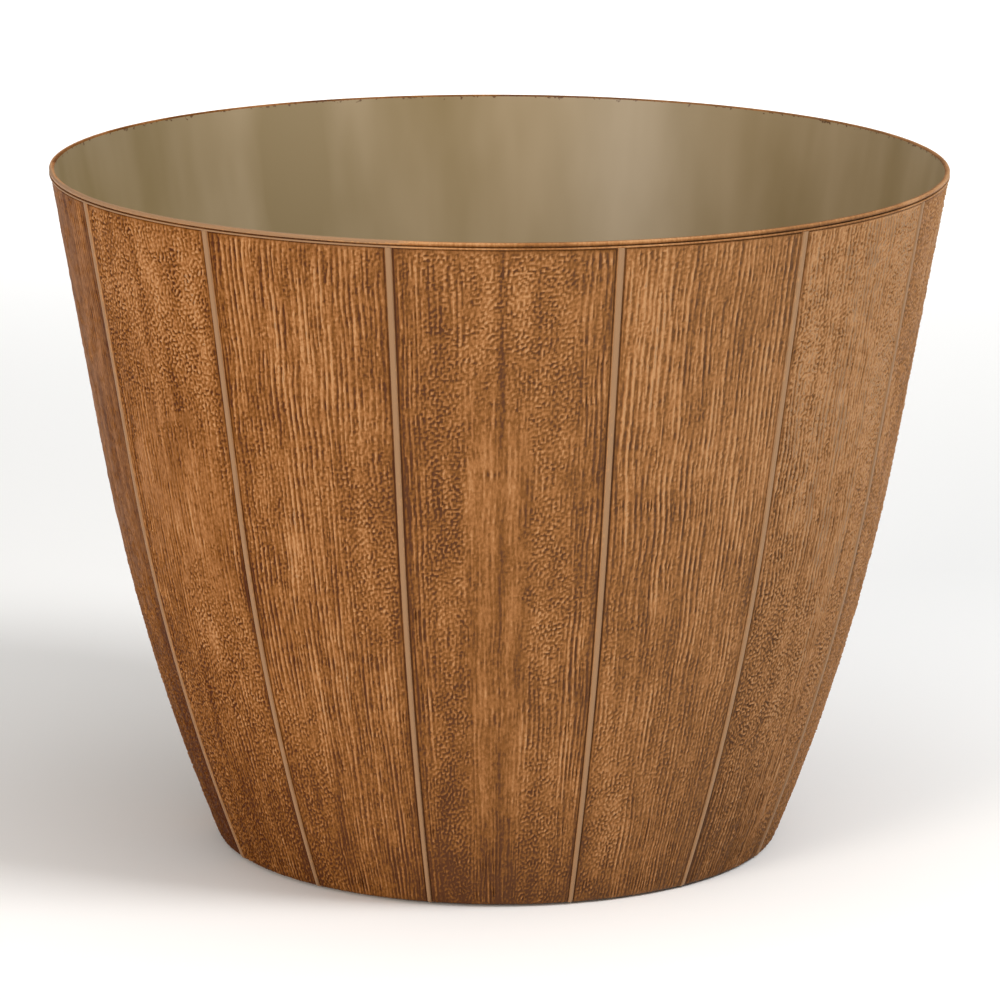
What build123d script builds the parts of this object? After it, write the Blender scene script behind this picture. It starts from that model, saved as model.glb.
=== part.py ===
"""A round floor planter with a stave-pattern wall, moulded in one piece, and the plugs of its drain holes.

The planter stands on the XY plane with its axis on Z. Its wall is a straight flare under the rim and a long
arc, the belly, below that. All sizes are in millimetres and degrees.
"""

import os
from math import asin, cos, degrees, hypot, radians, sin, sqrt, tan

from build123d import *

# Planter shell: outer shape
rim_radius = 197.0  # outside of the lip, at its top
pot_height = 302.0
flare_angle = 9.8  # lean of the straight upper wall, from the vertical
belly_top = 182.0  # height where the straight wall turns into the arc
belly_radius = 900.0
wall_bottom = 0.8  # above the ground
base_edge_radius = 2.5

# Planter shell: thicknesses
wall_thickness = 1.8  # behind the staves
floor_thickness = 3.0
inside_corner_radius = 8.0

# Rim: a plain lip above a thin hoop, with a fine groove over and under the hoop
lip_height = 1.6
lip_edge_radius = 0.6
hoop_height = 0.7
hoop_groove_height = 0.6

# Staves: plain panels that lie a little behind the lip, parted by seams
stave_recess = 0.4
stave_widths = (25.1, 25.0, 28.0, 25.5, 26.4, 25.0, 26.2, 25.4, 25.9, 25.1, 26.4, 25.3, 25.5, 25.2)
first_seam_angle = -153.4  # from +X, counter-clockwise

# Seams: a raised bead between two fine grooves. Their widths are taken at the rim and narrow with the wall.
seam_width = 2.8
seam_height = 0.7
seam_edge_radius = 0.45
groove_width = 0.9
groove_depth = 0.5

# Underside: the wall's foot, which hangs below the floor, a foot ring with gaps that let the water out, and
# stiffening ribs round a hub
floor_bottom = 3.0  # above the ground
wall_foot_width = 4.0
foot_width = 4.0
foot_inset = 9.0
foot_gap = 14.0
ribs_per_drain = 2
rib_width = 1.6
rib_bottom = 1.0  # above the ground
hub_radius = 16.0

# Drain holes: each has a shallow seat in the floor and a boss under it
drain_count = 4
drain_circle_radius = 62.0
first_drain_angle = 45.0
drain_radius = 6.0
boss_wall = 2.5
boss_bottom = 2.0  # above the ground
seat_depth = 1.0

# Drain plugs: a flat head with a grip on top, and a tapered shank
plug_overhang = 4.0  # how far the head reaches past the hole
plug_head_height = 2.0
plug_edge_radius = 0.6
plug_seat_gap = 0.5  # round the head
plug_bore_gap = 0.08  # round the top of the shank
plug_taper = 0.4  # how much thinner the shank's tip is than its top, in radius
plug_bottom = 1.0  # above the ground
grip_width = 12.0
grip_height = 9.0
grip_thickness = 2.6
grip_bead_radius = 2.2

# A body that joins or cuts another one runs past its surface by this much.
overrun = 0.5

# Levels, from the ground up
floor_top = floor_bottom + floor_thickness
seat_bottom = floor_top - seat_depth
lip_bottom = pot_height - lip_height
hoop_top = lip_bottom - hoop_groove_height
hoop_bottom = hoop_top - hoop_height
stave_top = hoop_bottom - hoop_groove_height

# The plug's head covers the hole and a ring round it.
plug_head_radius = drain_radius + plug_overhang

# How far each surface lies behind the outside of the lip, square to the wall
groove_inset = stave_recess + groove_depth
bead_inset = stave_recess - seam_height
inside_inset = stave_recess + wall_thickness

# The belly's arc is tangent to the straight wall at belly_top.
lean = radians(flare_angle)
belly_centre_radius = rim_radius - (pot_height - belly_top) * tan(lean) - belly_radius * cos(lean)
belly_centre_height = belly_top + belly_radius * sin(lean)


def wall_radius(height, inset):
    """Radius, at a height, of the surface that lies inset behind the outside of the wall."""
    radius = belly_radius - inset
    if height > belly_centre_height - radius * sin(lean):
        return rim_radius - (pot_height - height) * tan(lean) - inset / cos(lean)
    return belly_centre_radius + sqrt(radius**2 - (belly_centre_height - height) ** 2)


def wall_line(top, bottom, inset):
    """Draws the wall's straight line and arc in the current BuildLine, between two heights."""
    radius = belly_radius - inset
    end_lean = asin((belly_centre_height - bottom) / radius)
    middle_lean = (lean + end_lean) / 2
    knee, middle, end = (
        (belly_centre_radius + radius * cos(turn), belly_centre_height - radius * sin(turn))
        for turn in (lean, middle_lean, end_lean)
    )
    Line((wall_radius(top, inset), top), knee)
    ThreePointArc(knee, middle, end)


def wall_skin(top, bottom, outer_inset, inner_inset):
    """Draws the outline of a thin skin of the wall, closed at both heights, in the current BuildLine."""
    wall_line(top, bottom, outer_inset)
    wall_line(top, bottom, inner_inset)
    for height in (top, bottom):
        Line((wall_radius(height, outer_inset), height), (wall_radius(height, inner_inset), height))


def seam_strips(width):
    """Adds to the current sketch a strip at each seam, which fans out over a width in degrees."""
    angle = first_seam_angle
    for stave_width in stave_widths:
        corners = []
        for radius, side in ((base_radius / 2, -1), (rim_radius, -1), (rim_radius, 1), (base_radius / 2, 1)):
            turn = radians(angle + side * width / 2)
            corners.append((radius * cos(turn), radius * sin(turn)))
        Polygon(*corners, align=None)
        angle += stave_width * 360 / sum(stave_widths)


def is_crest(edge):
    """True for the long edges on the outside of the seam beads."""
    middle = edge @ 0.5
    half_way = wall_radius(middle.Z, bead_inset + seam_height / 2)
    return edge.length > 2 * seam_width and hypot(middle.X, middle.Y) > half_way


base_radius = wall_radius(wall_bottom, stave_recess)
foot_radius = base_radius - foot_inset
seam_bottom = wall_bottom + base_edge_radius
bead_angle = degrees(seam_width / rim_radius)
groove_angle = degrees(groove_width / rim_radius)


# Seam beads: a skin over the staves, of which only a narrow strip stays at each seam
with BuildPart() as seam_beads:
    with BuildSketch(Plane.XZ):
        with BuildLine():
            wall_skin(hoop_bottom + overrun, seam_bottom, bead_inset, inside_inset - overrun)
        make_face()
    revolve(axis=Axis.Z)
    with BuildSketch():
        seam_strips(bead_angle)
    extrude(amount=pot_height, mode=Mode.INTERSECT)
    fillet(seam_beads.edges().filter_by(is_crest), seam_edge_radius)


# Seam grooves: what is cut out of the staves on both sides of each bead
with BuildPart() as seam_grooves:
    with BuildSketch(Plane.XZ):
        with BuildLine():
            wall_skin(stave_top + overrun, seam_bottom, stave_recess - overrun, groove_inset)
        make_face()
    revolve(axis=Axis.Z)
    with BuildSketch():
        seam_strips(bead_angle + 2 * groove_angle)
    extrude(amount=pot_height, mode=Mode.INTERSECT)


# Planter shell
with BuildPart() as pot_shell:
    # Wall and floor, in one outline from the axis out under the floor, up outside and down inside
    with BuildSketch(Plane.XZ) as outline:
        with BuildLine():
            wall_line(stave_top, wall_bottom, stave_recess)
            Polyline(
                (wall_radius(stave_top, stave_recess), stave_top),
                (wall_radius(stave_top, groove_inset), stave_top),
                (wall_radius(hoop_bottom, groove_inset), hoop_bottom),
                (wall_radius(hoop_bottom, bead_inset), hoop_bottom),
                (wall_radius(hoop_top, bead_inset), hoop_top),
                (wall_radius(hoop_top, groove_inset), hoop_top),
                (wall_radius(lip_bottom, groove_inset), lip_bottom),
                (wall_radius(lip_bottom, 0), lip_bottom),
                (rim_radius, pot_height),
                (wall_radius(pot_height, inside_inset), pot_height),
            )
            wall_line(pot_height, floor_top, inside_inset)
            Polyline(
                (wall_radius(floor_top, inside_inset), floor_top),
                (0, floor_top),
                (0, floor_bottom),
                (base_radius - wall_foot_width, floor_bottom),
                (base_radius - wall_foot_width, wall_bottom),
                (base_radius, wall_bottom),
            )
        make_face()
        for corner, radius in (
            ((base_radius, wall_bottom), base_edge_radius),
            ((wall_radius(floor_top, inside_inset), floor_top), inside_corner_radius),
            ((rim_radius, pot_height), lip_edge_radius),
            ((wall_radius(pot_height, inside_inset), pot_height), lip_edge_radius),
        ):
            fillet(outline.vertices().sort_by_distance(corner)[0], radius)
    revolve(axis=Axis.Z)

    # Seams
    add(seam_grooves.part, mode=Mode.SUBTRACT)
    add(seam_beads.part)

    # Foot ring, with a gap beside each drain hole
    with BuildSketch():
        Circle(foot_radius)
        Circle(foot_radius - foot_width, mode=Mode.SUBTRACT)
        with PolarLocations(foot_radius - foot_width / 2, drain_count, start_angle=first_drain_angle):
            Rectangle(2 * foot_width, foot_gap, mode=Mode.SUBTRACT)
    extrude(amount=floor_bottom + overrun)

    # Ribs from the hub to the foot ring. They lie between the drain holes, at equal angles.
    rib_count = ribs_per_drain * drain_count
    first_rib_angle = first_drain_angle + 180 / rib_count
    rib_start = hub_radius - rib_width / 2
    rib_end = foot_radius - foot_width / 2
    with BuildSketch(Plane.XY.offset(rib_bottom)):
        Circle(hub_radius)
        Circle(hub_radius - rib_width, mode=Mode.SUBTRACT)
        with PolarLocations((rib_start + rib_end) / 2, rib_count, start_angle=first_rib_angle):
            Rectangle(rib_end - rib_start, rib_width)
    extrude(amount=floor_bottom - rib_bottom + overrun)

    # Drain holes: a boss under the floor, the seat for the plug's head, and the hole through both
    with BuildSketch(Plane.XY.offset(boss_bottom)):
        with PolarLocations(drain_circle_radius, drain_count, start_angle=first_drain_angle):
            Circle(drain_radius + boss_wall)
    extrude(amount=floor_bottom - boss_bottom + overrun)
    with BuildSketch(Plane.XY.offset(seat_bottom)):
        with PolarLocations(drain_circle_radius, drain_count, start_angle=first_drain_angle):
            Circle(plug_head_radius + plug_seat_gap)
    extrude(amount=seat_depth + overrun, mode=Mode.SUBTRACT)
    with BuildSketch():
        with PolarLocations(drain_circle_radius, drain_count, start_angle=first_drain_angle):
            Circle(drain_radius)
    extrude(amount=floor_top, mode=Mode.SUBTRACT)
pot_shell.part.label = "pot_shell"


# Drain plug, on the planter's axis and at the height where it sits
with BuildPart() as drain_plug:
    # Head and shank
    shank_radius = drain_radius - plug_bore_gap
    head_top = seat_bottom + plug_head_height
    with BuildSketch(Plane.XZ) as section:
        with BuildLine():
            Polyline(
                (0, plug_bottom),
                (shank_radius - plug_taper, plug_bottom),
                (shank_radius, seat_bottom),
                (plug_head_radius, seat_bottom),
                (plug_head_radius, head_top),
                (0, head_top),
                close=True,
            )
        make_face()
        for corner in ((plug_head_radius, head_top), (shank_radius - plug_taper, plug_bottom)):
            fillet(section.vertices().sort_by_distance(corner)[0], plug_edge_radius)
    revolve(axis=Axis.Z)

    # Grip: a flat web with a round bead along its top
    web_height = grip_height - grip_bead_radius
    with BuildSketch(Plane.YZ):
        with Locations((0, head_top - overrun)):
            Rectangle(grip_thickness, web_height + overrun, align=(Align.CENTER, Align.MIN))
        with Locations((0, head_top + web_height)):
            Circle(grip_bead_radius)
    extrude(amount=grip_width / 2, both=True)
    fillet(drain_plug.edges().filter_by(GeomType.CIRCLE).sort_by(Axis.Z)[-2:], plug_edge_radius)

# The plugs, each turned to its own hole
os.makedirs("parts", exist_ok=True)
export_step(pot_shell.part, "parts/pot_shell.step")
for number in range(drain_count):
    turn = first_drain_angle + number * 360 / drain_count
    with BuildPart() as plug:
        with Locations(Location((0, 0, 0), (0, 0, turn))):
            with Locations((drain_circle_radius, 0, 0)):
                add(drain_plug.part)
    plug.part.label = f"drain_plug_{number + 1}"
    export_step(plug.part, f"parts/drain_plug_{number + 1}.step")
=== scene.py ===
# %% [markdown]
# # A round planter that looks like wooden staves
#
# The real planter is one thin moulding of tan resin. Its mould was cut with fourteen staves, a raised bead
# between neighbours, and a wood grain of ridges and pebbles. After moulding, a brown wash was brushed over
# the outside and wiped off the high spots, so the recesses stay dark. The inside was left plain.
#
# The CAD model holds the sizes. Here the moulding is dressed as a shell that is turned from one outline,
# fourteen stave panels with a real relief that are let into it, and a floor with its ribs and drain plugs.

from math import asin, atan2, cos, pi, radians, sin, sqrt, tan

import bmesh
import bpy
import numpy as np
from mathutils import Matrix, Vector


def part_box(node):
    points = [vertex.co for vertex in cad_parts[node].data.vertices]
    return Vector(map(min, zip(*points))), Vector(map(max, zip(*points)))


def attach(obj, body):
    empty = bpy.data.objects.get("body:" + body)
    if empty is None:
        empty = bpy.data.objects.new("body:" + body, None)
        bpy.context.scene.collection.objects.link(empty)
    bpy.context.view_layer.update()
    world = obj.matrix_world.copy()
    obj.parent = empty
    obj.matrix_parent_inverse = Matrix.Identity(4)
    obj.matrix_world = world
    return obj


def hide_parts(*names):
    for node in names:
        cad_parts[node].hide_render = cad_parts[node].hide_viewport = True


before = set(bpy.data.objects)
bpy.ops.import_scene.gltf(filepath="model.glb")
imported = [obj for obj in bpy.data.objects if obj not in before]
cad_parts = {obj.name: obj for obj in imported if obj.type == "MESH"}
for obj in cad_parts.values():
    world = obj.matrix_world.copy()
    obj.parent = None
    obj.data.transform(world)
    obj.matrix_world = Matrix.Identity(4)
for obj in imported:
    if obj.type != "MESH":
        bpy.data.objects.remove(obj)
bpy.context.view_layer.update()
print("CAD nodes:", ", ".join(sorted(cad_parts)))

# %% [markdown]
# ## Sizes of the wall
#
# All sizes are in millimetres, as on a drawing, and each finished mesh is scaled to metres once. The wall
# leans out in a straight flare below the rim. Under that it is a long arc, the belly, which is tangent to the
# flare. An inset is how far a surface lies behind the outside of the lip, square to the wall.

# %% Sizes of the wall
MM = 0.001

rim_radius = 197.0
pot_height = 302.0
flare_angle = radians(9.8)
belly_top = 182.0
belly_radius = 900.0
wall_bottom = 0.8
base_edge_radius = 2.5
floor_bottom = 3.0
floor_top = 6.0

stave_inset = 0.4
groove_inset = 0.9
bead_inset = -0.3
inside_inset = 2.2

lip_bottom = 300.4
hoop_top = 299.8
hoop_bottom = 299.1
stave_top = 298.5

flare_foot_radius = rim_radius - (pot_height - belly_top) * tan(flare_angle)
belly_centre_radius = flare_foot_radius - belly_radius * cos(flare_angle)
belly_centre_height = belly_top + belly_radius * sin(flare_angle)


def wall_radius(height, inset):
    """Radius, at a height, of the surface that lies inset behind the outside of the wall."""
    radius = belly_radius - inset
    if height > belly_centre_height - radius * sin(flare_angle):
        return rim_radius - (pot_height - height) * tan(flare_angle) - inset / cos(flare_angle)
    return belly_centre_radius + sqrt(radius**2 - (belly_centre_height - height) ** 2)


def wall_turn(height):
    """How far the wall faces down at a height: the angle between its outward normal and the horizontal."""
    return max(flare_angle, asin((belly_centre_height - height) / belly_radius))


_, cad_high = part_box("pot_shell")
print(f"rim radius {rim_radius} mm, in the CAD {cad_high.x / MM:.1f} mm; height {cad_high.z / MM:.1f} mm")

# %% [markdown]
# ## The camera
#
# The photo looks slightly down at the planter through a long lens, so the sides barely converge. Here the
# camera stands about two and a half metres away. Its height, tilt and focal length were found by matching
# the rim's ellipse and the base.

# %% Camera
camera_distance = 2.435
camera_height = 0.7083
camera_tilt = 0.2252
camera_roll = 0.0039

camera_data = bpy.data.cameras.new("camera")
camera_data.lens = 202.4
camera_data.sensor_width = 36.0
camera_data.shift_x = 0.0018
camera = bpy.data.objects.new("camera", camera_data)
camera.matrix_world = (
    Matrix.Translation((0, -camera_distance, camera_height))
    @ Matrix.Rotation(pi / 2 - camera_tilt, 4, "X")
    @ Matrix.Rotation(camera_roll, 4, "Z")
)
bpy.context.scene.collection.objects.link(camera)
bpy.context.scene.camera = camera
print("camera looks down by", round(camera_tilt, 3), "radians")

# %% [markdown]
# ## Helpers
#
# Colours are written as sRGB hex codes, as on a paint chart, while a shader wants linear values. One
# function adds any shader node: a value that is a socket becomes a link, and any other value is set.

# %% Helpers for colours, nodes and pieces
def linear(hex_code):
    """The linear colour of an sRGB hex code."""
    channels = [int(hex_code[i : i + 2], 16) / 255 for i in (1, 3, 5)]
    return [c / 12.92 if c <= 0.04045 else ((c + 0.055) / 1.055) ** 2.4 for c in channels] + [1.0]


def add_node(material, kind, inputs, **settings):
    """Adds a shader node, with its settings, its values and its links."""
    node = material.node_tree.nodes.new(kind)
    for name, value in settings.items():
        setattr(node, name, value)
    for name, value in inputs.items():
        if isinstance(value, bpy.types.NodeSocket):
            material.node_tree.links.new(value, node.inputs[name])
        else:
            node.inputs[name].default_value = value
    return node


def new_material(name, inputs):
    """An empty node material, whose shader has plain values for its inputs."""
    material = bpy.data.materials.new(name)
    material.use_nodes = True
    shader = material.node_tree.nodes["Principled BSDF"]
    for key, value in inputs.items():
        shader.inputs[key].default_value = value
    return material, shader


def add_piece(name, mesh, materials, body, sharp_angle):
    """Makes a piece of a body from a mesh in millimetres. Edges over the sharp angle stay crisp."""
    mesh.transform(Matrix.Scale(MM, 4))
    for material in materials:
        mesh.materials.append(material)
    mesh.shade_smooth()
    mesh.set_sharp_from_angle(angle=sharp_angle)
    piece = bpy.data.objects.new(name, mesh)
    bpy.context.scene.collection.objects.link(piece)
    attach(piece, body)
    return piece


# %% [markdown]
# ## Plain tan resin
#
# The moulding is polypropylene, coloured through with a tan pigment and injection moulded against a smooth
# core. That gives the eye a satin, slightly cloudy surface, with faint streaks up the wall where the core
# was drawn out. Close to the rim a few specks of the brown wash were flicked over the edge.

# %% Material: moulded tan polypropylene
plain_resin, plain_shader = new_material(
    "tan_polypropylene_moulded", {"Roughness": 0.4, "Specular IOR Level": 0.5}
)
place = add_node(plain_resin, "ShaderNodeTexCoord", {}).outputs["Object"]

cloud_size = 45 * MM
streak_place = add_node(plain_resin, "ShaderNodeMapping", {"Vector": place, "Scale": (1, 1, 0.25)})
clouds = add_node(
    plain_resin,
    "ShaderNodeTexNoise",
    {"Vector": streak_place.outputs["Vector"], "Scale": 1 / cloud_size, "Detail": 3.0},
)
cloudiness = add_node(
    plain_resin,
    "ShaderNodeMapRange",
    {"Value": clouds.outputs["Fac"], "From Min": 0.35, "From Max": 0.65},
)
tan_colour = add_node(
    plain_resin,
    "ShaderNodeMix",
    {"Factor": cloudiness.outputs["Result"], "A": linear("#84714D"), "B": linear("#9B8869")},
    data_type="RGBA",
)

# Flecks of wash: spots of a fine noise, which pass the threshold only close to the rim
fleck_size = 2.2 * MM
fleck_band = 3.0
rim_boost = 0.35
fleck_start = 0.82
fleck_full = 0.86
height_in_pot = add_node(plain_resin, "ShaderNodeSeparateXYZ", {"Vector": place}).outputs["Z"]
near_rim = add_node(
    plain_resin,
    "ShaderNodeMapRange",
    {"Value": height_in_pot, "From Min": (pot_height - fleck_band) * MM, "From Max": pot_height * MM},
)
fleck_noise = add_node(
    plain_resin, "ShaderNodeTexNoise", {"Vector": place, "Scale": 1 / fleck_size, "Detail": 2.0}
)
fleck_level = add_node(
    plain_resin,
    "ShaderNodeMath",
    {0: near_rim.outputs["Result"], 1: rim_boost, 2: fleck_noise.outputs["Fac"]},
    operation="MULTIPLY_ADD",
)
flecks = add_node(
    plain_resin,
    "ShaderNodeMapRange",
    {"Value": fleck_level.outputs["Value"], "From Min": fleck_start, "From Max": fleck_full},
)
flecked_colour = add_node(
    plain_resin,
    "ShaderNodeMix",
    {"Factor": flecks.outputs["Result"], "A": tan_colour.outputs["Result"], "B": linear("#5A3C1C")},
    data_type="RGBA",
)
plain_resin.node_tree.links.new(flecked_colour.outputs["Result"], plain_shader.inputs["Base Color"])
print("made", plain_resin.name)

# %% [markdown]
# ## Washed resin
#
# The outside is the same resin under a brown wash: diluted paint, brushed on and wiped off. Paint stays in
# the recesses, and the raised ridges are rubbed back to tan. Each mesh carries a value called relief at its
# points, and the colour follows it: -1 in a groove, about 1 on a ridge, and more where the resin was wiped
# clean, as on the beads. That value also holds painted shade and a painted highlight, set where the meshes
# are made. Three noises add to it: patches about 50 mm wide where more or less was wiped off, smudges of
# 7 mm, and specks of about a millimetre. Towards the right the colour is mixed with pale tan: a painted
# sheen of the lamp at the right.

# %% Material: washed resin
washed_resin, washed_shader = new_material(
    "polypropylene_with_brushed_brown_wash", {"Specular IOR Level": 0.15}
)
place = add_node(washed_resin, "ShaderNodeTexCoord", {}).outputs["Object"]
relief = add_node(washed_resin, "ShaderNodeAttribute", {}, attribute_name="relief").outputs["Fac"]

patch_size = 50 * MM
smudge_size = 7 * MM
speck_size = 1.2 * MM
relief_weight = 0.28
unwiped_level = -0.37
# Size of a noise, how it is squeezed up the wall to make it longer, and how much it changes the wash
wash_noises = ((patch_size, 0.6, 0.5), (smudge_size, 0.25, 0.25), (speck_size, 0.45, 0.8))

# How far the wash is wiped off, with the painted shade and painted highlights that the relief value brings
wipe_and_light_share = add_node(
    washed_resin, "ShaderNodeMath", {0: relief, 1: relief_weight, 2: unwiped_level}, operation="MULTIPLY_ADD"
).outputs["Value"]
for size, stretch, amount in wash_noises:
    blot_place = add_node(washed_resin, "ShaderNodeMapping", {"Vector": place, "Scale": (1, 1, stretch)})
    blots = add_node(
        washed_resin,
        "ShaderNodeTexNoise",
        {"Vector": blot_place.outputs["Vector"], "Scale": 1 / size, "Detail": 3.0, "Roughness": 0.6},
    ).outputs["Fac"]
    wipe_and_light_share = add_node(
        washed_resin, "ShaderNodeMath", {0: blots, 1: amount, 2: wipe_and_light_share}, operation="MULTIPLY_ADD"
    ).outputs["Value"]

wash = add_node(washed_resin, "ShaderNodeValToRGB", {"Fac": wipe_and_light_share})
wash_stops = ((0.0, "#471E00"), (0.25, "#6E3F05"), (0.5, "#925E2F"), (0.8, "#B58456"), (1.0, "#906E4F"))
ramp = wash.color_ramp.elements
while len(ramp) < len(wash_stops):
    ramp.new(1.0)
for stop, (position, hex_code) in zip(ramp, wash_stops):
    stop.position = position
    stop.color = linear(hex_code)

# Painted sheen: towards the right the colour is mixed with pale tan, where the lamp at the right lights the
# wall
sheen_from = -120 * MM
sheen_to = 180 * MM
sheen_share = 0.2
across_pot = add_node(washed_resin, "ShaderNodeSeparateXYZ", {"Vector": place}).outputs["X"]
painted_sheen = add_node(
    washed_resin,
    "ShaderNodeMapRange",
    {"Value": across_pot, "From Min": sheen_from, "From Max": sheen_to, "To Max": sheen_share},
)
wash_colour = add_node(
    washed_resin,
    "ShaderNodeMix",
    {"Factor": painted_sheen.outputs["Result"], "A": wash.outputs["Color"], "B": linear("#A28461")},
    data_type="RGBA",
)
washed_resin.node_tree.links.new(wash_colour.outputs["Result"], washed_shader.inputs["Base Color"])

paint_roughness = add_node(
    washed_resin,
    "ShaderNodeMapRange",
    {"Value": wipe_and_light_share, "To Min": 0.62, "To Max": 0.45},
)
washed_resin.node_tree.links.new(paint_roughness.outputs["Result"], washed_shader.inputs["Roughness"])
grit_depth = 0.12 * MM
grit = add_node(
    washed_resin,
    "ShaderNodeBump",
    {"Height": blots, "Strength": 0.5, "Distance": grit_depth},
)
washed_resin.node_tree.links.new(grit.outputs["Normal"], washed_shader.inputs["Normal"])
print("made", washed_resin.name)

# %% [markdown]
# ## The shell
#
# The shell is everything that is round: the plain inside, the lip, the thin hoop with a groove on each side,
# and the ledge under the wall. Such a form is turned from its outline, as on a lathe. The outline starts as
# a few corners, the rounded corners are bevelled, and a spin of 360 steps turns it. Behind the staves its
# outside is set back, out of sight. Each corner carries its relief value, which the spin hands on.

# %% Outline of the shell
floor_radius = 118.0
hidden_inset = 1.1
washed_from = 298.0
groove_relief = -1.0
wall_foot_width = 4.0
ledge_overlap = 1.0
belly_start = 20.0
belly_points = 12

edge_height = wall_bottom + base_edge_radius
edge_centre = wall_radius(edge_height, stave_inset + base_edge_radius)
ledge_radius = edge_centre - ledge_overlap
wall_foot_radius = wall_radius(wall_bottom, stave_inset) - wall_foot_width
belly_heights = np.linspace(belly_start, belly_top, belly_points)

inside_wall = [(wall_radius(height, inside_inset), height) for height in belly_heights]
hidden_wall = [(wall_radius(height, hidden_inset), height) for height in belly_heights[::-1]]

# Radius, height, how far the corner is bevelled, and relief
shell_corners = [
    (floor_radius, floor_top, 0, 0),
    (wall_radius(floor_top, inside_inset), floor_top, 5.4, 0),
    *((radius, height, 0, 0) for radius, height in inside_wall),
    (wall_radius(pot_height, inside_inset), pot_height, 0.6, -0.6),
    (rim_radius, pot_height, 0.6, 1.0),
    (wall_radius(lip_bottom, 0), lip_bottom, 0.3, -0.3),
    (wall_radius(lip_bottom, groove_inset), lip_bottom, 0, groove_relief),
    (wall_radius(hoop_top, groove_inset), hoop_top, 0, groove_relief),
    (wall_radius(hoop_top, bead_inset), hoop_top, 0.25, 1.0),
    (wall_radius(hoop_bottom, bead_inset), hoop_bottom, 0.25, 0.5),
    (wall_radius(hoop_bottom, hidden_inset), hoop_bottom, 0, groove_relief),
    *((radius, height, 0, 0) for radius, height in hidden_wall),
    (wall_radius(edge_height, hidden_inset), edge_height, 0, 0),
    (ledge_radius, wall_bottom, 0, 0),
    (wall_foot_radius, wall_bottom, 0.4, 0),
    (wall_foot_radius, floor_bottom, 0, 0),
    (floor_radius, floor_bottom, 0, 0),
]

# %% Shell: bevel the outline and spin it
shell = bmesh.new()
relief_layer = shell.verts.layers.float.new("relief")
corners = []
for radius, height, _, corner_relief in shell_corners:
    corner = shell.verts.new((radius, 0, height))
    corner[relief_layer] = corner_relief
    corners.append(corner)
for start, end in zip(corners, corners[1:] + corners[:1]):
    shell.edges.new((start, end))
for (_, _, bevel_width, _), corner in zip(shell_corners, corners):
    if bevel_width:
        bmesh.ops.bevel(
            shell, geom=[corner], offset=bevel_width, affect="VERTICES", segments=6, profile=0.5, material=-1
        )
bmesh.ops.spin(
    shell,
    geom=shell.verts[:] + shell.edges[:],
    cent=(0, 0, 0),
    axis=(0, 0, 1),
    angle=2 * pi,
    steps=360,
    use_merge=True,
)
bmesh.ops.recalc_face_normals(shell, faces=shell.faces)

# The lip and the hoop are painted lighter at the front left, a painted highlight of the lamp at the left,
# and rubbed unevenly in smudges all the way round
highlight_angles = np.radians((-180, -160, -115, -95, -60, 0, 90, 180))
highlight_depths = (0.4, 2.4, 2.4, -0.1, -0.3, 0.0, 0.0, 0.4)
smudge_count = 91
smudge_depth = 0.6
smudge_seed = 7
smudge_angles = np.linspace(-pi, pi, smudge_count)
smudges = np.random.default_rng(smudge_seed).uniform(-smudge_depth, smudge_depth, smudge_count)
for vert in shell.verts:
    if vert.co.z > washed_from and vert[relief_layer] > groove_relief:
        angle = atan2(vert.co.y, vert.co.x)
        painted_highlight = np.interp(angle, highlight_angles, highlight_depths)
        vert[relief_layer] += painted_highlight + np.interp(angle, smudge_angles, smudges)
for face in shell.faces:
    face.material_index = int(face.calc_center_median().z > washed_from)
shell_mesh = bpy.data.meshes.new("pot_shell_turned")
shell.to_mesh(shell_mesh)
print("shell:", len(shell_mesh.polygons), "faces, volume", round(shell.calc_volume() / 1000, 1), "cm3")
shell.free()

pot_shell_turned = add_piece(
    "pot_shell_turned", shell_mesh, [plain_resin, washed_resin], "planter", radians(40)
)
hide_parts("pot_shell")

# %% [markdown]
# ## Layout of a stave panel
#
# A panel runs from the middle of one groove to the middle of the next, so that its joints lie in the dark,
# and it carries the bead at its left. Positions across it are in millimetres at the rim, from the middle of
# that bead. They are really angles, so the grain draws together towards the narrow base, as on the planter.

# %% Columns and rows of a panel
stave_widths = (25.1, 25.0, 28.0, 25.5, 26.4, 25.0, 26.2, 25.4, 25.9, 25.1, 26.4, 25.3, 25.5, 25.2)
first_seam_angle = radians(-153.4)
bead_half = 1.4
groove_width = 0.9
groove_edge = 0.1
panel_start = bead_half + groove_width
joint = bead_half + groove_width / 2

seam_cells = 24
panel_cells = 124
joint_cells = 2
column_count = seam_cells + panel_cells + joint_cells
row_count = 400


def stave_columns(width):
    """Positions across a stave, closest together over the bead and its grooves."""
    seam = np.linspace(-joint, panel_start + groove_edge, seam_cells + 1)
    panel = np.linspace(panel_start + groove_edge, width - panel_start - groove_edge, panel_cells + 1)
    last = np.linspace(width - panel_start - groove_edge, width - joint, joint_cells + 1)
    return np.concatenate([seam, panel[1:], last[1:]])


# Each row is a point on the wall at no inset, and how far the wall faces down there: first the ledge under
# the wall, then the rounded base edge, the wall, and the groove under the hoop.
edge_radius = base_edge_radius + stave_inset
edge_rows = 9
groove_rise = 0.2
edge_turns = np.linspace(pi / 2, wall_turn(edge_height), edge_rows)
panel_bottom = edge_height - edge_radius * sin(edge_turns[-1])
wall_heights = np.linspace(panel_bottom, stave_top - groove_rise, row_count - edge_rows - 1)
groove_heights = (stave_top, hoop_bottom)

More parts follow.
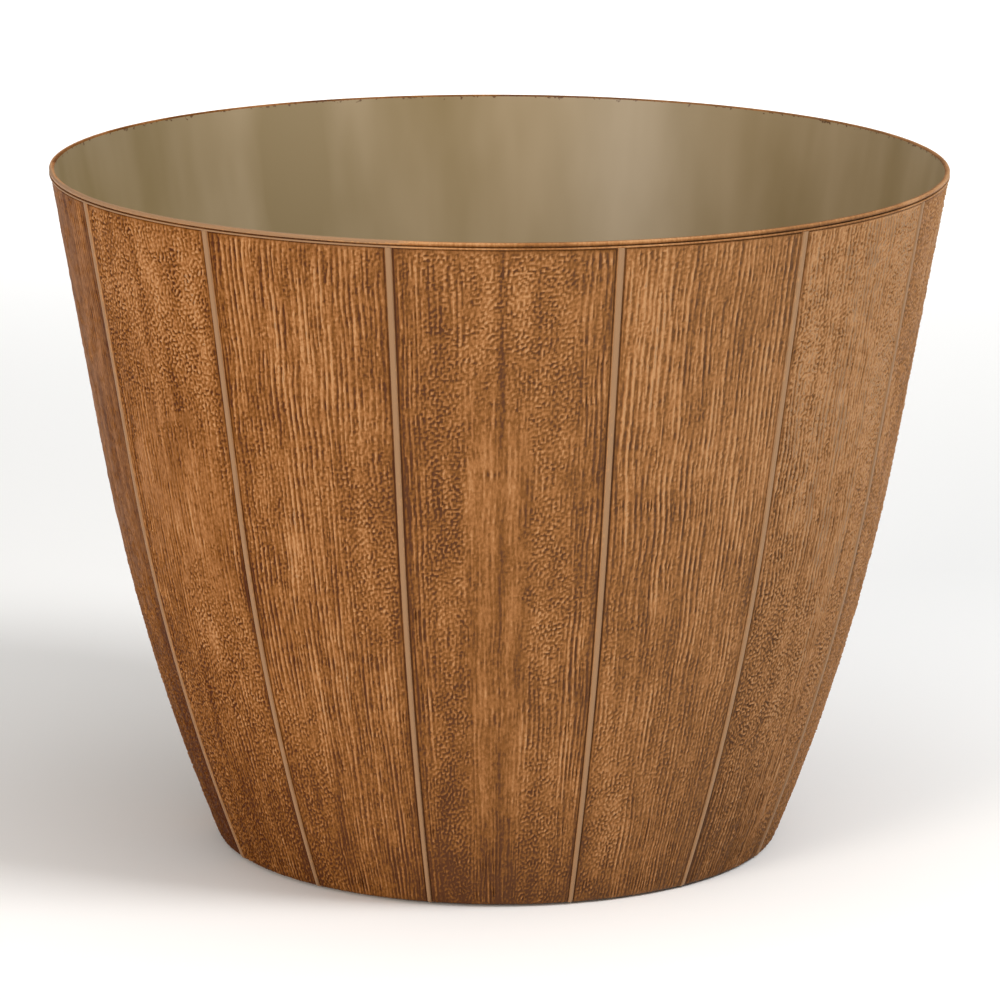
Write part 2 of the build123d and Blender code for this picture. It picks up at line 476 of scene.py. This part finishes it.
edge_points = [
    (edge_centre + edge_radius * cos(turn), edge_height - edge_radius * sin(turn), turn)
    for turn in edge_turns
]
upper_heights = (*wall_heights[1:], *groove_heights)
wall_points = [(wall_radius(height, 0), height, wall_turn(height)) for height in upper_heights]
stave_rows = np.array([(ledge_radius, edge_height - edge_radius, pi / 2), *edge_points, *wall_points])
print(len(stave_rows), "rows, one every", round(wall_heights[1] - wall_heights[0], 2), "mm")

# %% [markdown]
# ## A flat blank
#
# Every panel starts from the same flat blank, one unit wide and high: a fine grid in front, a coarse grid
# behind, and a bridge between their borders that closes the plate. Bending a copy of it keeps it closed and
# keeps its faces pointing out.

# %% Blank
back_columns = 10
back_rows = 25

blank = bmesh.new()
for columns, rows, depth in ((column_count, row_count, 1), (back_columns, back_rows, 0)):
    centre = Matrix.Translation((0.5, 0.5, depth))
    bmesh.ops.create_grid(blank, x_segments=columns, y_segments=rows, size=0.5, matrix=centre)
bmesh.ops.bridge_loops(blank, edges=[edge for edge in blank.edges if edge.is_boundary])
bmesh.ops.recalc_face_normals(blank, faces=blank.faces)
blank_mesh = bpy.data.meshes.new("stave_blank")
blank.to_mesh(blank_mesh)
blank.free()

blank_points = np.empty(3 * len(blank_mesh.vertices))
blank_mesh.vertices.foreach_get("co", blank_points)
blank_across, blank_up, blank_depth = blank_points.reshape(-1, 3).T
in_front = blank_depth > 0.5
print("blank:", len(blank_mesh.vertices), "points,", len(blank_mesh.polygons), "faces")

# %% [markdown]
# ## Wood grain
#
# The grain in the mould is of two kinds: long wavy ridges with finer splinters between them, and pebbles
# that run together like worm tracks. Both are noise with one main wavelength. Filtering white noise by
# wavelength gives that: a narrow band of waves across the stave makes ridges, a ring of waves in all
# directions makes pebbles, and only long waves make soft patches. The wash gets fibres and streaks that way.

# %% Grain sheets
sheet_step = 0.4
sheet_columns = 256
sheet_rows = 800
waves_across = np.fft.rfftfreq(sheet_columns, sheet_step)
waves_up = np.fft.fftfreq(sheet_rows, sheet_step)[:, None]


def bell(value, width):
    """A smooth weight of 1 at zero, which falls off over a width."""
    return np.exp(-((value / width) ** 2) / 2)


# Spacings and lengths in millimetres. A bell's width says how much the spacing varies.
ridge_spacing = 2.6
splinter_spacing = 1.8
pebble_spacing = 2.1
fibre_spacing = 1.3
ridge_length = 80
splinter_length = 12
cluster_size = 12
streak_width = 9
streak_length = 60
wander_size = 45
patch_length = 90

wave_choices = {
    "ridges": bell(waves_across - 1 / ridge_spacing, 0.09) * bell(waves_up, 1 / ridge_length),
    "splinters": bell(waves_across - 1 / splinter_spacing, 0.12) * bell(waves_up, 1 / splinter_length),
    "pebbles": bell(np.hypot(waves_across, waves_up) - 1 / pebble_spacing, 0.12),
    "clusters": bell(np.hypot(waves_across, 0.6 * waves_up), 1 / cluster_size),
    "fibres": bell(waves_across - 1 / fibre_spacing, 0.25) * bell(waves_up, 1 / ridge_length),
    "streaks": bell(waves_across, 1 / streak_width) * bell(waves_up, 1 / streak_length),
    "wander": bell(np.hypot(waves_across, waves_up), 1 / wander_size),
    "patches": bell(np.hypot(1.5 * waves_across, waves_up), 1 / patch_length),
}


def grain_sheet(kind, seed):
    """A sheet of one kind of grain, with a mean of 0 and a spread of 1."""
    noise = np.random.default_rng(seed).standard_normal((sheet_rows, sheet_columns))
    sheet = np.fft.irfft2(np.fft.rfft2(noise) * wave_choices[kind], noise.shape)
    return (sheet - sheet.mean()) / sheet.std()


def sample(sheet, across, up):
    """Reads a sheet at points in millimetres, blending the four nearest values."""
    column, row = across / sheet_step, up / sheet_step
    left, low = np.floor(column).astype(int), np.floor(row).astype(int)
    right_share, high_share = column - left, row - low
    left, right = left % sheet_columns, (left + 1) % sheet_columns
    low, high = low % sheet_rows, (low + 1) % sheet_rows
    lower = sheet[low, left] * (1 - right_share) + sheet[low, right] * right_share
    upper = sheet[high, left] * (1 - right_share) + sheet[high, right] * right_share
    return lower * (1 - high_share) + upper * high_share


print({kind: grain_sheet(kind, 1).shape for kind in wave_choices})

# %% [markdown]
# ## Where each stave is ridged, pebbled or smooth
#
# The front stave looks like two leaves of veneer laid side by side: a dark line down its middle, smoother
# wood beside it, a pebbled band on each side and ridges along its edges. Its neighbours are mostly ridged,
# and the next ones mix the two. A zone is given by its sides, as shares of the stave's width, and its
# heights, and one that runs out at an end of the stave reaches past it. The staves that no zone names are
# mostly ridged: the photo hides them, so their grain is a guess.

# %% Zones of the staves
# Left, right, bottom and top of each pebbled zone
pebbled_zones = {
    0: [(0.0, 1.0, 215, 310), (0.0, 1.0, -20, 95), (0.45, 1.0, 95, 150)],
    1: [(0.0, 0.35, 0, 80), (0.7, 1.0, 120, 190)],
    2: [(0.12, 0.32, -20, 320), (0.62, 0.82, -20, 320), (0.3, 0.65, 240, 320)],
    3: [(0.0, 0.3, -20, 60)],
    4: [(0.75, 1.0, -20, 320), (0.0, 0.6, 60, 140)],
    5: [(0.0, 1.0, -20, 320)],
    13: [(0.0, 1.0, -20, 130)],
}
smooth_zones = {
    0: [(0.1, 0.9, 140, 215)],
    2: [(0.32, 0.62, 30, 235)],
    13: [(0.0, 1.0, 130, 320)],
}

front_stave = 2
front_line = 0.487
# For each stave: how far it is wiped off at the base and at the rim, and how deep its grain is. The tones
# also
# paint light: number 4 is much paler at the rim, a painted sheen of the lamp at the right, and number 13 at
# the left side of the view and number 5 at the right side are darker, painted shade.
stave_finishes_and_painted_light = (
    (-0.2, 0.15, 1.3), (0.0, 0.0, 1.05), (-0.35, -0.15, 1.1), (-0.05, 0.25, 1.05), (-0.35, 1.4, 1.7),
    (-0.3, 0.2, 1.3), (0.0, 0.2, 1.0), (-0.2, 0.1, 1.1), (0.0, 0.0, 1.0), (0.1, 0.3, 1.1),
    (-0.2, 0.1, 1.0), (-0.1, 0.3, 1.2), (0.1, 0.0, 1.0), (-0.9, -0.5, 1.0),
)
# Painted shade: how much darker the wall is painted near the base, and up to what height
painted_base_shade = 0.65
base_shade_height = 85.0
zone_softness_across = 0.02
zone_softness_up = 8


def dimming(distance, softness):
    """What a zone is divided by, at a distance inside its soft edge: 1 well inside it, and 2 on it."""
    return 1 + np.exp(-distance / softness)


def zone_share(zones, across, up):
    """1 inside the zones and 0 outside them, with soft edges."""
    share = np.zeros_like(across)
    for left, right, bottom, top in zones:
        from_left = dimming(across - left, zone_softness_across)
        from_right = dimming(right - across, zone_softness_across)
        sides = 1 / from_left / from_right
        ends = 1 / dimming(up - bottom, zone_softness_up) / dimming(top - up, zone_softness_up)
        share = np.maximum(share, sides * ends)
    return share


# %% [markdown]
# ## Mixing the grain
#
# A stave's relief is ridges where the mould was ridged and pebbles where it was pebbled, bent a little so
# that they wander, and weaker where the wood is smooth. A curve then turns the waves into narrow crests over
# a broad ground. How far the wash is wiped off follows the stave's own tone, fine fibres and long streaks,
# and more wash stays beside the seams and on the front stave's dark line. The wall is also painted darker
# towards the base, a painted shade where the belly turns down from the lamps, and the stave tones paint
# some shade and sheen.

# %% Mixing the grain
# How far the ridges bend, in millimetres, and how ragged the zones' edges are
bend_depth = 0.4
zone_raggedness = 0.25
# How much of each kind goes into the grain
ridge_share = 0.9
splinter_share = 0.5
stray_pebbles = 0.3
zone_pebbles = 0.6
# How strong the grain is, and how that varies
even_strength = 0.9
smooth_loss = 0.6
cluster_share = 0.18
least_strength = 0.15
most_strength = 1.3
# How the ridges are shaped: narrow crests over a broad ground
crest_sharpness = 1.2
crest_level = 0.35
ground_lift = 0.3
# How far the wash is wiped off weak grain, streaks and fibres
weak_grain_wipe = 0.3
streak_wipe = 0.2
fibre_wipe = 0.2
# How much more wash lies beside the seams and on the front stave's dark line, which comes and goes
seam_wash = 0.4
seam_wash_width = 2.5
line_wash = 0.9
line_width = 1.0
line_presence = 0.7
line_breaks = 0.4


def stave_grain(number, width, across, up):
    """A stave's relief, below 0 in a recess and above it on a ridge, and how far its wash is wiped off, with
    painted shade and painted sheen added.
    """
    sheets = {kind: grain_sheet(kind, 10 * number + order) for order, kind in enumerate(wave_choices)}
    share_across = across / width
    bent = across + bend_depth * sample(sheets["wander"], across, up)
    lumpy = sample(sheets["patches"], across, up)
    pebbled = zone_share(pebbled_zones.get(number, []), share_across, up)
    pebbled = np.clip(pebbled + zone_raggedness * lumpy, 0, 1)
    smooth = zone_share(smooth_zones.get(number, []), share_across, up)
    ridges = ridge_share * sample(sheets["ridges"], bent, up)
    ridges = ridges + splinter_share * sample(sheets["splinters"], bent, up)
    pebbles = sample(sheets["pebbles"], bent, up)
    grain = ridges * (1 - pebbled) + pebbles * (stray_pebbles + zone_pebbles * pebbled)
    base_tone_and_shade, rim_tone_and_sheen, depth = stave_finishes_and_painted_light[number]
    strength = even_strength - smooth_loss * smooth + cluster_share * sample(sheets["clusters"], bent, up)
    strength = depth * np.clip(strength, least_strength, most_strength)
    # The tones at the base and the rim include painted shade and a painted sheen
    wipe_and_painted_light = np.interp(up, (0, pot_height), (base_tone_and_shade, rim_tone_and_sheen))
    wipe_and_painted_light += weak_grain_wipe * (even_strength - strength)
    streaks = streak_wipe * sample(sheets["streaks"], bent, up)
    fibres = fibre_wipe * sample(sheets["fibres"], bent, up)
    wipe_and_painted_light += streaks + fibres
    # Painted shade near the base
    wipe_and_painted_light -= painted_base_shade * np.clip(1 - up / base_shade_height, 0, 1)
    wipe_and_painted_light -= seam_wash * bell(np.minimum(across, width - across) - panel_start, seam_wash_width)
    if number == front_stave:
        line = line_wash * bell(across - front_line * width, line_width)
        wipe_and_painted_light -= line * np.clip(line_presence + line_breaks * lumpy, 0, 1)
    return strength * (np.tanh(crest_sharpness * (grain - crest_level)) + ground_lift), wipe_and_painted_light


# %% [markdown]
# ## The stave panels
#
# Each copy of the blank is bent to the wall: its columns become angles and its rows run up the wall. The
# inset of a point comes from the seam's section, from the groove under the hoop, and from the grain, which
# fades out beside the grooves, under the hoop and round the base edge.

# %% Stave panels
relief_depth = 0.36
back_inset = 1.5
stave_angles = np.array(stave_widths) / sum(stave_widths) * 2 * pi
seam_angles = first_seam_angle + np.concatenate([[0], np.cumsum(stave_angles[:-1])])

# Distance from the middle of the seam, and inset there
seam_section = np.array(
    [
        (0, bead_inset),
        (bead_half * 0.3, bead_inset + 0.03),
        (bead_half * 0.6, bead_inset + 0.13),
        (bead_half * 0.8, bead_inset + 0.3),
        (bead_half * 0.95, bead_inset + 0.55),
        (bead_half, bead_inset + 0.8),
        (bead_half + groove_edge, groove_inset),
        (panel_start - groove_edge, groove_inset),
        (panel_start + groove_edge, stave_inset),
    ]
)

# The grain fades in over this many millimetres beside a seam and below the hoop, and rows above the base
seam_fade = 1.2
hoop_fade = 1.5
hoop_fade_gap = 0.3
base_fade_row = 2
base_fade_rows = 10
# The seam fades in from this row, over this many
seam_row = 1
seam_fade_rows = 8
hoop_step = 0.15
bead_margin = 0.05
# Relief value across a bead: flat on top, less at its shoulder, and dark at its foot
crest_shoulder = 0.6
crest_foot = 0.2
crest_values = (2.6, 2.0, -1)


def add_stave(number):
    """Bends a copy of the blank into one stave panel."""
    width = stave_angles[number] * rim_radius
    across = np.interp(blank_across * column_count, range(column_count + 1), stave_columns(width))
    row = blank_up * row_count
    radius, height, turn = (np.interp(row, range(row_count + 1), values) for values in stave_rows.T)

    seam_distance = np.minimum(np.abs(across), width - across)
    on_bead = seam_distance < bead_half + bead_margin
    fade = np.clip((seam_distance - panel_start) / seam_fade, 0, 1)
    fade = fade * np.clip((row - base_fade_row) / base_fade_rows, 0, 1)
    fade *= np.clip((stave_top - hoop_fade_gap - height) / hoop_fade, 0, 1)
    grain, wipe_and_painted_light = stave_grain(number, width, across, height)

    seam = np.interp(seam_distance, *seam_section.T)
    seam = stave_inset + (seam - stave_inset) * np.clip((row - seam_row) / seam_fade_rows, 0, 1)
    under_hoop = np.interp(height, (stave_top - hoop_step, stave_top), (stave_inset, groove_inset))
    surface = np.where(on_bead, seam, np.maximum(seam, under_hoop)) - relief_depth * grain * fade
    inset = np.where(in_front, surface, back_inset)

    angle = seam_angles[number] + across / rim_radius
    out = radius - inset * np.cos(turn)
    points = np.stack([out * np.cos(angle), out * np.sin(angle), height + inset * np.sin(turn)], axis=1)
    mesh = blank_mesh.copy()
    mesh.name = f"stave_{number + 1:02d}"
    mesh.vertices.foreach_set("co", points.ravel())

    crest_places = (bead_half - crest_shoulder, bead_half, bead_half + crest_foot)
    crest = np.interp(seam_distance, crest_places, crest_values)
    groove = np.interp(surface, (stave_inset, groove_inset), (0, -1))
    tone = np.where(on_bead, crest, groove + grain * fade + wipe_and_painted_light)
    mesh.attributes.new("relief", "FLOAT", "POINT").data.foreach_set("value", tone)
    stave = add_piece(mesh.name, mesh, [washed_resin], "planter", radians(75))
    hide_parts("pot_shell")


for number in range(len(stave_widths)):
    add_stave(number)
bpy.data.meshes.remove(blank_mesh)
print("made", len(stave_widths), "staves")

# %% [markdown]
# ## The floor and the underside
#
# The floor closes the shell. Each of its four drain holes has a shallow seat on top for a plug's head and a
# boss underneath. A disc and a few cylinders, joined and cut with the Boolean modifier, give the same form
# that the mould has. Under the floor, a foot ring with four gaps lets the water out, and ribs run from a hub
# to that ring. These are closed bodies that reach half a millimetre into the floor.

# %% Floor with its drain holes
drain_circle = 62.0
drain_radius = 6.0
seat_radius = 10.5
seat_bottom = 5.0
boss_radius = 8.5
boss_bottom = 2.0
cut_top = floor_top + 1
drain_angles = [radians(45 + 90 * quarter) for quarter in range(4)]
join_depth = 0.5


def add_cylinder(mesh, radius, bottom, top, centre=(0, 0), segments=64):
    """Adds a closed cylinder between two heights."""
    place = Matrix.Translation((*centre, (bottom + top) / 2))
    bmesh.ops.create_cone(
        mesh,
        cap_ends=True,
        segments=segments,
        radius1=radius,
        radius2=radius,
        depth=top - bottom,
        matrix=place,
    )


def drain_cylinders(radius, bottom, top):
    """A mesh with the same cylinder at each drain hole."""
    mesh = bmesh.new()
    for angle in drain_angles:
        add_cylinder(mesh, radius, bottom, top, (drain_circle * cos(angle), drain_circle * sin(angle)))
    return mesh


def to_mesh(name, mesh):
    """Turns a bmesh into a mesh and frees it."""
    made = bpy.data.meshes.new(name)
    mesh.to_mesh(made)
    mesh.free()
    return made


def combine(body, tool, operation):
    """Joins a tool to a body, or cuts it out, and returns the mesh that is left."""
    objects = []
    for mesh in (body, tool):
        objects.append(bpy.data.objects.new(mesh.name, mesh))
        bpy.context.scene.collection.objects.link(objects[-1])
    boolean = objects[0].modifiers.new("combine", "BOOLEAN")
    boolean.operation = operation
    boolean.object = objects[1]
    boolean.solver = "EXACT"
    graph = bpy.context.evaluated_depsgraph_get()
    result = bpy.data.meshes.new_from_object(objects[0].evaluated_get(graph))
    for helper in objects:
        bpy.data.objects.remove(helper)
    return result


disc = bmesh.new()
add_cylinder(disc, floor_radius, floor_bottom, floor_top, segments=360)
floor_mesh = to_mesh("pot_floor", disc)
for radius, bottom, top, operation in (
    (boss_radius, boss_bottom, floor_bottom + join_depth, "UNION"),
    (seat_radius, seat_bottom, cut_top, "DIFFERENCE"),
    (drain_radius, 0.0, cut_top, "DIFFERENCE"),
):
    floor_mesh = combine(floor_mesh, to_mesh("drain_tool", drain_cylinders(radius, bottom, top)), operation)
pot_floor = add_piece("pot_floor", floor_mesh, [plain_resin], "planter", radians(30))
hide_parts("pot_shell")
print("floor:", len(floor_mesh.polygons), "faces")

# %% Foot ring, hub and ribs
foot_inset = 9.0
foot_width = 4.0
foot_outside = wall_radius(wall_bottom, stave_inset) - foot_inset
foot_inside = foot_outside - foot_width
foot_gap = 14.0
gap_overrun = 2
gap_bottom = -1
gap_top = 5
hub_radius = 16.0
rib_width = 1.6
rib_bottom = 1.0
rib_count = 8
first_rib_angle = 67.5
rib_reach = 2
rib_top = floor_bottom + join_depth


def ring_mesh(name, inner, outer, bottom, top):
    """A closed ring with a rectangular section."""
    ring = bmesh.new()
    section = ((inner, bottom), (outer, bottom), (outer, top), (inner, top))
    corners = [ring.verts.new((radius, 0, height)) for radius, height in section]
    for start, end in zip(corners, corners[1:] + corners[:1]):
        ring.edges.new((start, end))
    bmesh.ops.spin(
        ring,
        geom=ring.verts[:] + ring.edges[:],
        cent=(0, 0, 0),
        axis=(0, 0, 1),
        angle=2 * pi,
        steps=180,
        use_merge=True,
    )
    bmesh.ops.recalc_face_normals(ring, faces=ring.faces)
    return to_mesh(name, ring)


def box_matrix(angle, inner, outer, width, bottom, top):
    """Places a unit cube as a bar along a radius."""
    return (
        Matrix.Rotation(angle, 4, "Z")
        @ Matrix.Translation(((inner + outer) / 2, 0, (bottom + top) / 2))
        @ Matrix.Diagonal((outer - inner, width, top - bottom, 1))
    )


gaps = bmesh.new()
for angle in drain_angles:
    place = box_matrix(
        angle, foot_inside - gap_overrun, foot_outside + gap_overrun, foot_gap, gap_bottom, gap_top
    )
    bmesh.ops.create_cube(gaps, size=1, matrix=place)
foot_ring = combine(
    ring_mesh("foot_ring", foot_inside, foot_outside, 0, rib_top), to_mesh("foot_gaps", gaps), "DIFFERENCE"
)
ribs = bmesh.new()
ribs.from_mesh(foot_ring)
ribs.from_mesh(ring_mesh("hub", hub_radius - rib_width, hub_radius, rib_bottom, rib_top))
for number in range(rib_count):
    angle = radians(first_rib_angle + 360 / rib_count * number)
    rib_start = hub_radius - rib_width / 2
    place = box_matrix(angle, rib_start, foot_inside + rib_reach, rib_width, rib_bottom, rib_top)
    bmesh.ops.create_cube(ribs, size=1, matrix=place)
underside_ribs = add_piece(
    "underside_ribs", to_mesh("underside_ribs", ribs), [plain_resin], "planter", radians(30)
)
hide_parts("pot_shell")
print("underside:", len(underside_ribs.data.polygons), "faces")

# %% [markdown]
# ## The drain plugs
#
# The plugs are pressed from soft rubber, and the CAD solids already have their shape, so they stay and only
# get a finish: a matte, nearly black brown, with the faint dusty bloom that such rubber has.

# %% Material: moulded soft rubber
rubber, rubber_shader = new_material("soft_rubber_moulded", {"Roughness": 0.7, "IOR": 1.52})
place = add_node(rubber, "ShaderNodeTexCoord", {}).outputs["Object"]
bloom_size = 6 * MM
bloom = add_node(rubber, "ShaderNodeTexNoise", {"Vector": place, "Scale": 1 / bloom_size, "Detail": 4.0})
rubber_colour = add_node(
    rubber,
    "ShaderNodeMix",
    {"Factor": bloom.outputs["Fac"], "A": linear("#2A241F"), "B": linear("#4A433C")},
    data_type="RGBA",
)
rubber.node_tree.links.new(rubber_colour.outputs["Result"], rubber_shader.inputs["Base Color"])
for name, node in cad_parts.items():
    if name.startswith("drain_plug"):
        node.data.materials.clear()
        node.data.materials.append(rubber)

# %% [markdown]
# ## Floor and lights
#
# A plain pale floor and four soft lamps: a slightly warm one low at the left, one higher at the right, a wide
# one overhead, and one that turns away from the planter and brightens the background. A weak white world
# fills the shadows.

# %% Floor and lights
studio_floor = bmesh.new()
bmesh.ops.create_grid(studio_floor, x_segments=1, y_segments=1, size=12)
studio_mesh = bpy.data.meshes.new("studio_floor")
studio_floor.to_mesh(studio_mesh)
studio_floor.free()
paper, _ = new_material("white_paper_matte", {"Base Color": linear("#F4F4F3"), "Roughness": 0.9})
studio_mesh.materials.append(paper)
floor_piece = bpy.data.objects.new("studio_floor", studio_mesh)
bpy.context.scene.collection.objects.link(floor_piece)

world = bpy.data.worlds.new("studio")
world.use_nodes = True
world.node_tree.nodes["Background"].inputs["Color"].default_value = linear("#FFFFFF")
world.node_tree.nodes["Background"].inputs["Strength"].default_value = 0.33
bpy.context.scene.world = world

# Position, target, width, height, power in watts, and colour
lamps = {
    "softbox_left": ((-1.6, -2.1, 0.8), (0, 0, 0.2), 0.9, 1.4, 47, "#FFF5E9"),
    "softbox_right": ((1.6, -0.9, 2.0), (0, 0, 0.25), 0.8, 0.8, 45, "#FFFFFF"),
    "softbox_above": ((0, -0.4, 2.6), (0, 0, 0), 2.5, 2.5, 28, "#FFFFFF"),
    "backdrop_light": ((0, 2.4, 1.8), (0, 4.1, 0), 4.0, 1.5, 85, "#FFFFFF"),
}
for name, (position, target, width, height, power, colour) in lamps.items():
    lamp_data = bpy.data.lights.new(name, "AREA")
    lamp_data.shape = "RECTANGLE"
    lamp_data.size = width
    lamp_data.size_y = height
    lamp_data.energy = power
    lamp_data.color = linear(colour)[:3]
    lamp = bpy.data.objects.new(name, lamp_data)
    lamp.location = position
    lamp.rotation_euler = (Vector(target) - lamp.location).to_track_quat("-Z", "Y").to_euler()
    bpy.context.scene.collection.objects.link(lamp)
bpy.context.scene.view_settings.view_transform = "Standard"
print("lit by", ", ".join(lamps))
